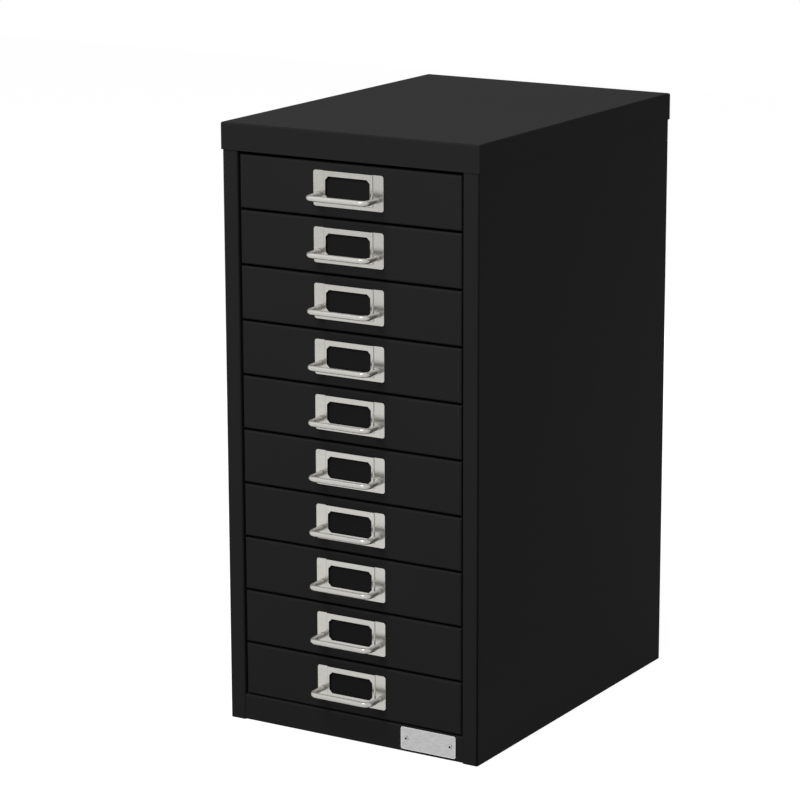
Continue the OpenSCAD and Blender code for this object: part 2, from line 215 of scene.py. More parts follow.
def make_plate_window_shade():
    """Painted shade mask: an oblong behind each label plate, repeated upwards, in front of a depth.
    """
    effect, given, result = new_effect(
        "plate_window_shade",
        [
            ("Half Width", "NodeSocketFloat", 0.026), ("Half Height", "NodeSocketFloat", 0.012),
            ("First", "NodeSocketFloat", 0.1), ("Pitch", "NodeSocketFloat", 0.05),
            ("Last", "NodeSocketFloat", 9.0), ("Front", "NodeSocketFloat", -0.1),
        ],
        ["Mask"],
    )
    place = split(effect, put(effect, "ShaderNodeTexCoord").outputs["Object"])
    within = maths(
        effect, "LESS_THAN", maths(effect, "ABSOLUTE", place["X"]), given["Half Width"]
    )
    up = maths(effect, "SUBTRACT", place["Z"], given["First"])
    row = maths(effect, "ROUND", maths(effect, "DIVIDE", up, given["Pitch"]))
    kept = put(effect, "ShaderNodeClamp", {"Value": row, "Min": 0.0, "Max": given["Last"]})
    middle = maths(effect, "MULTIPLY", kept.outputs[0], given["Pitch"])
    off = maths(effect, "ABSOLUTE", maths(effect, "SUBTRACT", up, middle))
    level = maths(effect, "LESS_THAN", off, given["Half Height"])
    before = maths(effect, "LESS_THAN", place["Y"], given["Front"])
    flat = maths(effect, "MULTIPLY", within, level)
    feed(effect, result, {"Mask": maths(effect, "MULTIPLY", flat, before)})
    return effect


def empty_nodes(owner):
    """The node tree of a material or world, with nothing in it."""
    owner.use_nodes = True
    owner.node_tree.nodes.clear()
    return owner.node_tree


def new_material(name):
    """A material with its shader and output joined."""
    made = bpy.data.materials.new(name)
    tree = empty_nodes(made)
    shader = put(tree, "ShaderNodeBsdfPrincipled")
    put(tree, "ShaderNodeOutputMaterial", {"Surface": shader.outputs[0]})
    return made, tree, shader


edge_highlight_and_wear = make_edge_highlight_and_wear()
grain = make_grain()
upright_fold_shade = make_upright_fold_shade()
plate_window_shade = make_plate_window_shade()

# The folds' painted shade ends just under the cap, and lies outside this X of the body.
cap_low, cap_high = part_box("top_cap")
FOLD_TOP = cap_low[2] - 0.5 * MM
FOLD_BEYOND = cap_high[0] - 3.5 * MM

# The label plates' windows lie a little above the plates' middles, at the same
# pitch as the drawers.
lowest_low, lowest_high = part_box("drawer_10_label_plate")
next_low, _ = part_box("drawer_09_label_plate")
POCKET_HALF_W, POCKET_HALF_H = 26.8 * MM, 12.5 * MM
POCKET_FIRST = (lowest_low[2] + lowest_high[2]) / 2 + 1.35 * MM
POCKET_PITCH = next_low[2] - lowest_low[2]
POCKET_FRONT = lowest_high[1] + 0.5 * MM

# The last two tones are fitted to the photograph: a line down the folds, and
# the dark of the windows.
ORANGE_PEEL, POWDER_SPECK, SPECK_SHARE = 520.0, 2600.0, 0.35
BLACK = (0.0125, 0.0125, 0.0127, 1.0)
BLACK_FADED = (0.0145, 0.0145, 0.0147, 1.0)
# Paler tone of the edges: partly wear, partly a painted highlight.
BLACK_EDGE_HIGHLIGHT_AND_WEAR = (0.020, 0.020, 0.0205, 1.0)
# Painted shade: a dark line down the body's upright folds.
FOLD_PAINTED_SHADE = (0.0035, 0.0035, 0.0035, 1.0)
# Painted shade behind the label plates' windows.
WINDOW_PAINTED_SHADE = (0.0088, 0.0088, 0.0089, 1.0)
EDGE_SHARE = 0.5
COAT_SHEEN = 0.018


def make_powder_coat():
    """Satin black powder coat with light orange peel, edges paler as wear and painted highlight."""
    coat, tree, shader = new_material("black_powder_coat")
    peel = use(tree, grain, {
        "Coarse": ORANGE_PEEL, "Fine": POWDER_SPECK, "Fine Share": SPECK_SHARE,
    })
    edges = use(tree, edge_highlight_and_wear, {"Radius": 0.5 * MM, "Patchiness": 0.6})
    folds = use(tree, upright_fold_shade, {"Top": FOLD_TOP, "Beyond": FOLD_BEYOND})
    window_shade_mask = use(tree, plate_window_shade, {
        "Half Width": POCKET_HALF_W, "Half Height": POCKET_HALF_H, "First": POCKET_FIRST,
        "Pitch": POCKET_PITCH, "Front": POCKET_FRONT,
    })
    tone = mixed(tree, peel["Tone"], BLACK, BLACK_FADED)
    worn_and_highlit = mixed(tree, maths(tree, "MULTIPLY", edges["Mask"], EDGE_SHARE), tone, BLACK_EDGE_HIGHLIGHT_AND_WEAR)
    # Painted shade down the upright folds.
    folded = mixed(tree, folds["Mask"], worn_and_highlit, FOLD_PAINTED_SHADE)
    bump = put(
        tree, "ShaderNodeBump",
        {"Height": peel["Height"], "Strength": 0.35, "Distance": 0.06 * MM},
    )
    # Its base colour adds the painted shade behind the label windows.
    feed(tree, shader, {
        "Base Color": mixed(tree, window_shade_mask["Mask"], folded, WINDOW_PAINTED_SHADE),
        "Roughness": ramp(tree, peel["Height"], to_low=0.50, to_high=0.62),
        "Normal": bump.outputs[0],
        "Specular IOR Level": COAT_SHEEN,
    })
    return coat


powder_coat = make_powder_coat()


def paint(node):
    """Gives a CAD node the powder coat."""
    for slot in cabinet[node].material_slots:
        slot.material = powder_coat


for node in ("top_cap", "left_side", "right_side", "back_panel", "base_pan", "plinth_rail"):
    paint(node)


# ---- Runner racks ----
# Two hat-section uprights a side with ten C-section runners welded to them.
# They are coated together with the carcass.

for node in ("left_runner_rack", "right_runner_rack"):
    paint(node)


# ---- Badge plate ----
# Small bare plate of brushed aluminium, cut with rounded corners, low on the
# right of the plinth rail. Two hollow rivets hold it. It carries no lettering.

BADGE_W, BADGE_H, BADGE_T = 60.6 * MM, 22.3 * MM, 0.8 * MM
BADGE_CORNER, BADGE_BREAK = 2.0 * MM, 0.25 * MM
RIVET_SPACING = 48.7 * MM
RIVET_HOLE = 1.55 * MM
badge_low, badge_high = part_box("badge_plate")
badge_centre = (Vector(badge_low) + Vector(badge_high)) / 2

# Corners that coincide are joined, and an edge sharper than this is broken.
JOIN_WITHIN = 0.002 * MM
SHARP = math.radians(40)


def new_recipe(name, lengths):
    """An empty Geometry Nodes tree with one named length input for each size."""
    recipe = bpy.data.node_groups.new(name, "GeometryNodeTree")
    for label in lengths:
        recipe.interface.new_socket(label, in_out="INPUT", socket_type="NodeSocketFloat")
    recipe.interface.new_socket("Geometry", in_out="OUTPUT", socket_type="NodeSocketGeometry")
    return recipe, recipe.nodes.new("NodeGroupInput").outputs


def vector(recipe, x=0.0, y=0.0, z=0.0):
    """A vector of three lengths."""
    return put(recipe, "ShaderNodeCombineXYZ", {"X": x, "Y": y, "Z": z}).outputs[0]


def line(recipe, start, end):
    """A straight curve from start to end."""
    return put(recipe, "GeometryNodeCurvePrimitiveLine", {"Start": start, "End": end}).outputs[0]


def circle(recipe, sides, radius):
    """A closed round curve of this many sides."""
    return put(
        recipe, "GeometryNodeCurvePrimitiveCircle", {"Resolution": sides, "Radius": radius}
    ).outputs[0]


def swept(recipe, path, profile):
    """A closed solid: the profile carried along the path."""
    return put(
        recipe, "GeometryNodeCurveToMesh",
        {"Curve": path, "Profile Curve": profile, "Fill Caps": True},
    ).outputs[0]


def cut_out(recipe, body, *tools, how="DIFFERENCE"):
    """The body with the tools taken out of it, or only what lies in all of them."""
    made = put(recipe, "GeometryNodeMeshBoolean", operation=how, solver="MANIFOLD")
    if how == "DIFFERENCE":
        recipe.links.new(body, made.inputs["Mesh 1"])
    for tool in ((body, *tools) if how == "INTERSECT" else tools):
        recipe.links.new(tool, made.inputs["Mesh 2"])
    return made.outputs["Mesh"]


def blank(recipe, width, height, corner, near, far, sides=6):
    """An oblong sheet across Y from near to far, its corners rounded, or cut with one side."""
    outline = put(
        recipe, "GeometryNodeCurvePrimitiveQuadrilateral", {"Width": width, "Height": height}
    )
    rounded = put(
        recipe, "GeometryNodeFilletCurve",
        {"Curve": outline.outputs[0], "Count": sides, "Radius": corner}, mode="POLY",
    )
    return swept(recipe, line(recipe, near, far), rounded.outputs[0])


def finish(recipe, geometry, material):
    """Ends a recipe: joined corners, smooth faces, real copies and the material."""
    joined = put(
        recipe, "GeometryNodeMergeByDistance", {"Geometry": geometry, "Distance": JOIN_WITHIN}
    )
    smooth = put(recipe, "GeometryNodeSetShadeSmooth", {"Geometry": joined.outputs[0]})
    real = put(recipe, "GeometryNodeRealizeInstances", {"Geometry": smooth.outputs[0]})
    coated = put(
        recipe, "GeometryNodeSetMaterial", {"Geometry": real.outputs[0], "Material": material}
    )
    put(recipe, "NodeGroupOutput", {"Geometry": coated.outputs[0]})


def new_object(name, data):
    """An object with this data, in the scene."""
    made = bpy.data.objects.new(name, data)
    bpy.context.scene.collection.objects.link(made)
    return made


def make(name, recipe, sizes, edge=0.0, steps=2):
    """Runs a recipe with these sizes, breaks its sharp edges, and keeps a plain mesh."""
    piece = new_object(name, bpy.data.meshes.new(name))
    run = piece.modifiers.new("recipe", "NODES")
    run.node_group = recipe
    for item in recipe.interface.items_tree:
        if item.in_out == "INPUT":
            run[item.identifier] = float(sizes[item.name])
    if edge:
        broken = piece.modifiers.new("edges", "BEVEL")
        broken.width = edge
        broken.segments = steps
        broken.limit_method = "ANGLE"
        broken.angle_limit = SHARP
        piece.modifiers.new("flats", "WEIGHTED_NORMAL")
    graph = bpy.context.evaluated_depsgraph_get()
    mesh = bpy.data.meshes.new_from_object(
        piece.evaluated_get(graph), preserve_all_data_layers=True, depsgraph=graph
    )
    piece.modifiers.clear()
    piece.data = mesh
    mesh.name = name
    return piece


# How open a point is where the painted shade of hollows starts, and where it is full.
OPEN_SEEN, DEEP_SEEN = 0.82, 0.5


def make_hollow_shade():
    """Mask of painted shade in the holes and inner corners."""
    effect, given, result = new_effect(
        "hollow_shade", [("Reach", "NodeSocketFloat", 1.5 * MM)], ["Mask"]
    )
    seen = put(effect, "ShaderNodeAmbientOcclusion", {"Distance": given["Reach"]}, samples=8)
    feed(effect, result, {"Mask": ramp(effect, seen.outputs["AO"], OPEN_SEEN, DEEP_SEEN)})
    return effect


hollow_shade = make_hollow_shade()

BRUSH_STRETCH = (0.16, 1.0, 1.0)
BRUSH_LINES, BRUSH_FINE, BRUSH_FINE_SHARE = 1300.0, 3600.0, 0.4
ALUMINIUM_DARK = (0.26, 0.26, 0.262, 1.0)
ALUMINIUM = (0.62, 0.62, 0.622, 1.0)
# Paler tone of the edges: partly wear, partly a painted highlight.
ALUMINIUM_EDGE_HIGHLIGHT_AND_WEAR = (0.95, 0.95, 0.95, 1.0)
# Painted shade in the rivet holes and round the rivet heads.
ALUMINIUM_HOLLOW_SHADE = (0.02, 0.02, 0.02, 1.0)


def make_aluminium():
    """Bare aluminium brushed along the plate; edges paler as wear and painted highlight."""
    bare, tree, shader = new_material("brushed_aluminium")
    brushed = use(tree, grain, {
        "Stretch": BRUSH_STRETCH, "Coarse": BRUSH_LINES, "Fine": BRUSH_FINE,
        "Fine Share": BRUSH_FINE_SHARE,
    })["Height"]
    edges = use(tree, edge_highlight_and_wear, {"Radius": 1.0 * MM, "Patchiness": 0.1})["Mask"]
    hollow_shade_mask = use(tree, hollow_shade, {"Reach": 2.0 * MM})["Mask"]
    tone = mixed(tree, brushed, ALUMINIUM_DARK, ALUMINIUM)
    worn_and_highlit = mixed(tree, edges, tone, ALUMINIUM_EDGE_HIGHLIGHT_AND_WEAR)
    bump = put(
        tree, "ShaderNodeBump", {"Height": brushed, "Strength": 0.25, "Distance": 0.03 * MM}
    )
    feed(tree, shader, {
        "Base Color": mixed(tree, hollow_shade_mask, worn_and_highlit, ALUMINIUM_HOLLOW_SHADE),
        "Roughness": ramp(tree, brushed, to_low=0.30, to_high=0.48),
        "Normal": bump.outputs[0],
        "Metallic": 1.0,
    })
    return bare


aluminium = make_aluminium()


def badge_recipe():
    """The badge plate: a rounded blank with two punched holes."""
    recipe, size = new_recipe(
        "badge_plate",
        ("Width", "Height", "Thickness", "Corner", "Hole spacing", "Hole radius", "X", "Y", "Z"),
    )
    half = maths(recipe, "MULTIPLY", size["Thickness"], 0.5)
    back = maths(recipe, "MULTIPLY", half, -1.0)
    plate = blank(
        recipe, size["Width"], size["Height"], size["Corner"],
        vector(recipe, y=back), vector(recipe, y=half), sides=8,
    )
    beside = maths(recipe, "MULTIPLY", size["Hole spacing"], 0.5)
    punch = circle(recipe, 32, size["Hole radius"])
    for way in (-1.0, 1.0):
        x = maths(recipe, "MULTIPLY", beside, way)
        through = line(recipe, vector(recipe, x=x, y=-MM), vector(recipe, x=x, y=MM))
        plate = cut_out(recipe, plate, swept(recipe, through, punch))
    placed = put(
        recipe, "GeometryNodeTransform",
        {"Geometry": plate, "Translation": vector(recipe, size["X"], size["Y"], size["Z"])},
    )
    finish(recipe, placed.outputs[0], aluminium)
    return recipe


badge = make(
    "badge_blank", badge_recipe(),
    {
        "Width": BADGE_W, "Height": BADGE_H, "Thickness": BADGE_T, "Corner": BADGE_CORNER,
        "Hole spacing": RIVET_SPACING, "Hole radius": RIVET_HOLE,
        "X": badge_centre.x, "Y": badge_centre.y, "Z": badge_centre.z,
    },
    edge=BADGE_BREAK, steps=3,
)
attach(badge, "carcass")
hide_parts("badge_plate")


# ---- Badge rivets ----
# Two hollow aluminium rivets: a domed head with a countersunk mouth, a shank
# through plate and rail, and a tail rolled over behind the rail.

RIVET_BORE, RIVET_SHANK, RIVET_HEAD, RIVET_DOME = 1.3 * MM, 1.5 * MM, 2.2 * MM, 0.9 * MM
RIVET_GRIP, RIVET_TAIL = 1.66 * MM, 0.7 * MM
MOUTH_BREAK, TAIL_ROLL, TAIL_ROLL_PLACE = 0.2 * MM, 0.4 * MM, 0.45
DOME_STEPS = 8


def through_points(recipe, points):
    """A curve through these points, in order."""
    row = put(recipe, "GeometryNodeMeshLine", {"Count": len(points)})
    order = put(recipe, "GeometryNodeInputIndex")
    pick = put(recipe, "GeometryNodeIndexSwitch", {"Index": order.outputs[0]}, data_type="VECTOR")
    while len(pick.index_switch_items) < len(points):
        pick.index_switch_items.new()
    feed(recipe, pick, {number + 1: point for number, point in enumerate(points)})
    moved = put(
        recipe, "GeometryNodeSetPosition",
        {"Geometry": row.outputs[0], "Position": pick.outputs[0]},
    )
    return put(recipe, "GeometryNodeMeshToCurve", {"Mesh": moved.outputs[0]}).outputs[0]


def rivet_recipe():
    """One turned rivet section, swept round a circle and set at both holes."""
    recipe, size = new_recipe(
        "hollow_rivets",
        ("Spacing", "Bore radius", "Shank radius", "Head radius", "Head height", "Grip",
         "Tail", "X", "Y", "Z"),
    )
    across = maths(recipe, "ADD", size["Bore radius"], size["Head radius"])
    middle = maths(recipe, "MULTIPLY", across, 0.5)

    def at(radius, height):
        """A point of the section, at this radius and height above the plate."""
        return vector(recipe, x=maths(recipe, "SUBTRACT", radius, middle), y=height)

    mouth = maths(recipe, "ADD", size["Bore radius"], MOUTH_BREAK)
    dome = maths(recipe, "SUBTRACT", size["Head radius"], mouth)
    behind = maths(recipe, "MULTIPLY", size["Grip"], -1.0)
    end = maths(recipe, "SUBTRACT", behind, size["Tail"])
    lip = maths(recipe, "ADD", size["Shank radius"], TAIL_ROLL)
    rise = maths(recipe, "MULTIPLY", size["Tail"], TAIL_ROLL_PLACE)
    points = [
        at(size["Bore radius"], end),
        at(size["Shank radius"], end),
        at(lip, maths(recipe, "ADD", end, rise)),
        at(lip, behind),
        at(size["Shank radius"], behind),
        at(size["Shank radius"], 0.0),
        at(size["Head radius"], 0.0),
    ]
    for step in range(1, DOME_STEPS + 1):
        turn = math.radians(90 * step / DOME_STEPS)
        points.append(at(
            maths(recipe, "ADD", mouth, maths(recipe, "MULTIPLY", dome, math.cos(turn))),
            maths(recipe, "MULTIPLY", size["Head height"], math.sin(turn)),
        ))
    mouth_foot = maths(recipe, "SUBTRACT", size["Head height"], MOUTH_BREAK)
    points.append(at(size["Bore radius"], mouth_foot))
    section = put(recipe, "GeometryNodeSetSplineCyclic", {
        "Geometry": through_points(recipe, points), "Cyclic": True,
    })
    ring = circle(recipe, 32, middle)
    turned = swept(recipe, ring, section.outputs[0])
    first = maths(
        recipe, "SUBTRACT", size["X"], maths(recipe, "MULTIPLY", size["Spacing"], 0.5)
    )
    spots = put(recipe, "GeometryNodeMeshLine", {
        "Count": 2, "Start Location": vector(recipe, first, size["Y"], size["Z"]),
        "Offset": vector(recipe, x=size["Spacing"]),
    })
    set_in = put(
        recipe, "GeometryNodeInstanceOnPoints",
        {"Points": spots.outputs[0], "Instance": turned, "Rotation": (-math.pi / 2, 0.0, 0.0)},
    )
    finish(recipe, set_in.outputs[0], aluminium)
    return recipe


rivets = make(
    "hollow_rivets", rivet_recipe(),
    {
        "Spacing": RIVET_SPACING, "Bore radius": RIVET_BORE, "Shank radius": RIVET_SHANK,
        "Head radius": RIVET_HEAD, "Head height": RIVET_DOME, "Grip": RIVET_GRIP,
        "Tail": RIVET_TAIL, "X": badge_centre.x, "Y": badge_low[1], "Z": badge_centre.z,
    },
)
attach(rivets, "carcass")
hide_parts("badge_rivets")


# ---- Drawer trays and fronts ----
# Each drawer is a folded tray with hemmed lips and a folded front welded to
# it, coated like the carcass.

DRAWERS = range(1, 11)

for number in DRAWERS:
    paint(f"drawer_{number:02d}_tray")
    paint(f"drawer_{number:02d}_front")


# ---- Label plates ----
# One pressed plate on each front, satin nickel on 0.8 mm steel. The middle is
# raised so that a card slides in behind it, and its window has cut corners.

PLATE_W, PLATE_H, PLATE_T = 77.0 * MM, 34.2 * MM, 0.8 * MM
PLATE_CORNER = 2.5 * MM
RAISED_W, CARD_SLOT = 53.6 * MM, 1.5 * MM
PLATE_FOLD, POCKET_FLOOR = 0.3 * MM, 4.0 * MM
WINDOW_W, WINDOW_H, WINDOW_RISE = 49.0 * MM, 21.3 * MM, 1.35 * MM
WINDOW_CUT = 3.4 * MM
LEG_SPACING, PULL_DROP, STUD_HOLE = 65.0 * MM, 6.4 * MM, 2.1 * MM
PLATE_BREAK = 0.16 * MM

ROLLED_STRETCH = (0.12, 1.0, 1.0)
ROLLED_STREAKS, ROLLED_FINE, ROLLED_FINE_SHARE = 900.0, 4200.0, 0.4
NICKEL_DARK = (0.38, 0.372, 0.347, 1.0)
NICKEL = (0.54, 0.528, 0.493, 1.0)
# Paler tone of the edges: partly wear, partly a painted highlight.
NICKEL_EDGE_HIGHLIGHT_AND_WEAR = (0.80, 0.79, 0.76, 1.0)
# Painted shade in holes and inner corners, at the share given for each material.
NICKEL_HOLLOW_SHADE = (0.05, 0.048, 0.044, 1.0)
NICKEL_EDGE_SHARE = 0.6


def make_nickel(name, mirror, smooth, rough, shade_share):
    """Satin nickel plate with faint streaks; what isn't mirror is milky and scatters light."""
    plated, tree, shader = new_material(name)
    rolled = use(tree, grain, {
        "Stretch": ROLLED_STRETCH, "Coarse": ROLLED_STREAKS, "Fine": ROLLED_FINE,
        "Fine Share": ROLLED_FINE_SHARE,
    })["Height"]
    edges = use(tree, edge_highlight_and_wear, {"Radius": 0.3 * MM, "Patchiness": 0.3})["Mask"]
    hollow_shade_mask = use(tree, hollow_shade, {"Reach": 1.4 * MM})["Mask"]
    tone = mixed(tree, rolled, NICKEL_DARK, NICKEL)
    worn_and_highlit = mixed(tree, maths(tree, "MULTIPLY", edges, NICKEL_EDGE_SHARE), tone, NICKEL_EDGE_HIGHLIGHT_AND_WEAR)
    bump = put(
        tree, "ShaderNodeBump", {"Height": rolled, "Strength": 0.15, "Distance": 0.03 * MM}
    )
    feed(tree, shader, {
        "Base Color": mixed(tree, maths(tree, "MULTIPLY", hollow_shade_mask, shade_share), worn_and_highlit, NICKEL_HOLLOW_SHADE),
        "Roughness": ramp(tree, rolled, to_low=smooth, to_high=rough),
        "Normal": bump.outputs[0],
        "Metallic": mirror,
    })
    return plated


nickel = make_nickel("satin_nickel", mirror=1.0, smooth=0.17, rough=0.27, shade_share=0.75)


def rounded_outline(recipe, corners):
    """A closed curve through these corners, each a place and the radius of its bend."""
    closed = put(
        recipe, "GeometryNodeSetSplineCyclic",
        {"Geometry": through_points(recipe, [place for place, _ in corners]), "Cyclic": True},
    )
    order = put(recipe, "GeometryNodeInputIndex")
    bend = put(recipe, "GeometryNodeIndexSwitch", {"Index": order.outputs[0]}, data_type="FLOAT")
    while len(bend.index_switch_items) < len(corners):
        bend.index_switch_items.new()
    feed(recipe, bend, {number + 1: radius for number, (_, radius) in enumerate(corners)})
    return put(
        recipe, "GeometryNodeFilletCurve",
        {"Curve": closed.outputs[0], "Count": 5, "Radius": bend.outputs[0]}, mode="POLY",
    ).outputs[0]


# How far the shapes that cut the plate go past it.
WELL_PAST, FRONT_REACH, BACK_REACH, CUT_REACH = 50.0 * MM, 3.0 * MM, 6.0 * MM, 4.0 * MM
OUTLINE_JOIN = 0.001 * MM


def behind_face(recipe, size, low, high, wall, top_bend, foot_bend, reach):
    """The space behind a face of the plate, raised between its side steps and above its foot."""
    def run_out(start, end, outline):
        """The outline carried from start to end, with doubled corners joined."""
        raw = swept(recipe, line(recipe, start, end), outline)
        return put(
            recipe, "GeometryNodeMergeByDistance", {"Geometry": raw, "Distance": OUTLINE_JOIN}
        ).outputs[0]

    side = maths(recipe, "ADD", maths(recipe, "MULTIPLY", size["Raised width"], 0.5), wall)
    other = maths(recipe, "MULTIPLY", side, -1.0)
    across = rounded_outline(recipe, [
        (vector(recipe, -WELL_PAST, reach), 0.0), (vector(recipe, -WELL_PAST, low), 0.0),
        (vector(recipe, other, low), foot_bend), (vector(recipe, other, high), top_bend),
        (vector(recipe, side, high), top_bend), (vector(recipe, side, low), foot_bend),
        (vector(recipe, WELL_PAST, low), 0.0), (vector(recipe, WELL_PAST, reach), 0.0),
    ])
    # A section that runs along X is drawn with Y and Z both turned over.
    floor = maths(
        recipe, "ADD", maths(recipe, "MULTIPLY", size["Height"], 0.5),
        maths(recipe, "SUBTRACT", wall, size["Pocket floor"]),
    )
    flat_low = maths(recipe, "MULTIPLY", low, -1.0)
    flat_high = maths(recipe, "MULTIPLY", high, -1.0)
    upward = rounded_outline(recipe, [
        (vector(recipe, -reach, WELL_PAST), 0.0), (vector(recipe, -reach, -WELL_PAST), 0.0),
        (vector(recipe, flat_high, -WELL_PAST), 0.0), (vector(recipe, flat_high, floor), top_bend),
        (vector(recipe, flat_low, floor), foot_bend), (vector(recipe, flat_low, WELL_PAST), 0.0),
    ])
    return (
        run_out(vector(recipe, z=-WELL_PAST), vector(recipe, z=WELL_PAST), across),
        run_out(vector(recipe, x=-WELL_PAST), vector(recipe, x=WELL_PAST), upward),
    )


def label_plate_recipe():
    """What lies between the two faces, cut to the plate's outline, window and holes."""
    recipe, size = new_recipe(
        "label_plate",
        ("Width", "Height", "Thickness", "Corner", "Raised width", "Rise", "Pocket floor",
         "Fold", "Window width", "Window height", "Window rise", "Window cut", "Hole spacing",
         "Hole drop", "Hole radius", "Y", "Z"),
    )
    half = maths(recipe, "MULTIPLY", size["Thickness"], 0.5)
    minus_half = maths(recipe, "MULTIPLY", half, -1.0)
    outer_bend = maths(recipe, "ADD", size["Fold"], size["Thickness"])
    front = behind_face(
        recipe, size, minus_half, maths(recipe, "SUBTRACT", minus_half, size["Rise"]),
        half, outer_bend, size["Fold"], FRONT_REACH,
    )
    back = behind_face(
        recipe, size, half, maths(recipe, "SUBTRACT", half, size["Rise"]),
        minus_half, size["Fold"], outer_bend, BACK_REACH,
    )
    hollow = cut_out(recipe, *back, how="INTERSECT")
    before, behind = CUT_REACH, -CUT_REACH
    outline = blank(
        recipe, size["Width"], size["Height"], size["Corner"],
        vector(recipe, y=behind), vector(recipe, y=before), sides=7,
    )
    window = blank(
        recipe, size["Window width"], size["Window height"], size["Window cut"],
        vector(recipe, y=behind, z=size["Window rise"]),
        vector(recipe, y=before, z=size["Window rise"]), sides=1,
    )
    punch = circle(recipe, 24, size["Hole radius"])
    drop = maths(recipe, "MULTIPLY", size["Hole drop"], -1.0)
    holes = []
    for way in (-0.5, 0.5):
        x = maths(recipe, "MULTIPLY", size["Hole spacing"], way)
        through = line(
            recipe, vector(recipe, x, behind, drop), vector(recipe, x, before, drop)
        )
        holes.append(swept(recipe, through, punch))
    plate = cut_out(recipe, outline, *front, how="INTERSECT")
    for tool in (hollow, window, *holes):
        plate = cut_out(recipe, plate, tool)
    placed = put(
        recipe, "GeometryNodeTransform",
        {"Geometry": plate, "Translation": vector(recipe, 0.0, size["Y"], size["Z"])},
    )
    finish(recipe, placed.outputs[0], nickel)
    return recipe


plate_recipe = label_plate_recipe()
for number in DRAWERS:
    low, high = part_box(f"drawer_{number:02d}_label_plate")
    plate = make(
        f"label_plate_{number:02d}", plate_recipe,
        {
            "Width": PLATE_W, "Height": PLATE_H, "Thickness": PLATE_T, "Corner": PLATE_CORNER,
            "Raised width": RAISED_W, "Rise": CARD_SLOT, "Pocket floor": POCKET_FLOOR,
            "Fold": PLATE_FOLD, "Window width": WINDOW_W, "Window height": WINDOW_H,
            "Window rise": WINDOW_RISE, "Window cut": WINDOW_CUT, "Hole spacing": LEG_SPACING,
            "Hole drop": PULL_DROP, "Hole radius": STUD_HOLE,
            "Y": high[1] - PLATE_T / 2, "Z": (low[2] + high[2]) / 2,
        },
        edge=PLATE_BREAK,
    )
    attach(plate, f"drawer_{number:02d}")
    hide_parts(f"drawer_{number:02d}_label_plate")


# ---- Bail pulls ----
# A 5.2 mm round bar bent into a bail on each drawer, satin nickel. Each leg
# stands on the label plate and ends in an M4 threaded stud through the front.

BAR_RADIUS, BEND_RADIUS, PULL_BREAK = 2.6 * MM, 6.5 * MM, 0.12 * MM
CORE_RADIUS, THREAD_PITCH, CREST_RADIUS = 1.62 * MM, 0.7 * MM, 0.33 * MM
bar_nickel = make_nickel("satin_nickel_bar", mirror=0.5, smooth=0.15, rough=0.24, shade_share=0.3)


def bail_pull_recipe():
    """A round bar along the bent path, and a core with a rolled thread for each stud."""
    recipe, size = new_recipe(
        "bail_pull",
        ("Leg spacing", "Bar radius", "Bend radius", "Core radius", "Pitch", "Front", "Plate",
         "Stud end", "Z"),
    )
    half = maths(recipe, "MULTIPLY", size["Leg spacing"], 0.5)
    other = maths(recipe, "MULTIPLY", half, -1.0)
    bent = put(
        recipe, "GeometryNodeFilletCurve",
        {
            "Curve": through_points(recipe, [
                vector(recipe, other, size["Plate"], size["Z"]),
                vector(recipe, other, size["Front"], size["Z"]),
                vector(recipe, half, size["Front"], size["Z"]),
                vector(recipe, half, size["Plate"], size["Z"]),
            ]),
            "Count": 14, "Radius": size["Bend radius"],
        },
        mode="POLY",
    )
    bar = circle(recipe, 32, size["Bar radius"])
    joined = put(recipe, "GeometryNodeJoinGeometry")
    recipe.links.new(swept(recipe, bent.outputs[0], bar), joined.inputs[0])
    core = circle(recipe, 20, size["Core radius"])
    stud = swept(
        recipe,
        line(recipe, vector(recipe, y=size["Plate"]), vector(recipe, y=size["Stud end"])),
        core,
    )
    length = maths(recipe, "SUBTRACT", size["Stud end"], size["Plate"])
    threaded = maths(recipe, "SUBTRACT", length, size["Pitch"])
    helix = put(
        recipe, "GeometryNodeCurveSpiral",
        {
            "Resolution": 18, "Rotations": maths(recipe, "DIVIDE", threaded, size["Pitch"]),
            "Start Radius": size["Core radius"], "End Radius": size["Core radius"],
            "Height": threaded,
        },
    )
    crest = circle(recipe, 4, CREST_RADIUS)
    half_pitch = maths(recipe, "MULTIPLY", size["Pitch"], 0.5)
    laid = put(recipe, "GeometryNodeTransform", {
        "Geometry": swept(recipe, helix.outputs[0], crest),
        "Translation": vector(recipe, y=maths(recipe, "SUBTRACT", size["Stud end"], half_pitch)),
        "Rotation": (math.pi / 2, 0.0, 0.0),
    })
    both = put(recipe, "GeometryNodeJoinGeometry")
    recipe.links.new(stud, both.inputs[0])
    recipe.links.new(laid.outputs[0], both.inputs[0])
    legs = put(
        recipe, "GeometryNodeMeshLine",
        {
            "Count": 2, "Start Location": vector(recipe, x=other, z=size["Z"]),
            "Offset": vector(recipe, x=size["Leg spacing"]),
        },
    )
    studs = put(
        recipe, "GeometryNodeInstanceOnPoints",
        {"Points": legs.outputs[0], "Instance": both.outputs[0]},
    )
    recipe.links.new(studs.outputs[0], joined.inputs[0])
    finish(recipe, joined.outputs[0], bar_nickel)
    return recipe


pull_recipe = bail_pull_recipe()
for number in DRAWERS:
    low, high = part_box(f"drawer_{number:02d}_bail_pull")
    plate_low, plate_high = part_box(f"drawer_{number:02d}_label_plate")
    pull = make(
        f"bail_pull_{number:02d}", pull_recipe,
        {
            "Leg spacing": LEG_SPACING, "Bar radius": BAR_RADIUS, "Bend radius": BEND_RADIUS,
            "Core radius": CORE_RADIUS, "Pitch": THREAD_PITCH,
            "Front": low[1] + BAR_RADIUS, "Plate": plate_high[1] - PLATE_T,
            "Stud end": high[1], "Z": (low[2] + high[2]) / 2,
        },
        edge=PULL_BREAK,
    )
    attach(pull, f"drawer_{number:02d}")
    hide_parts(f"drawer_{number:02d}_bail_pull")


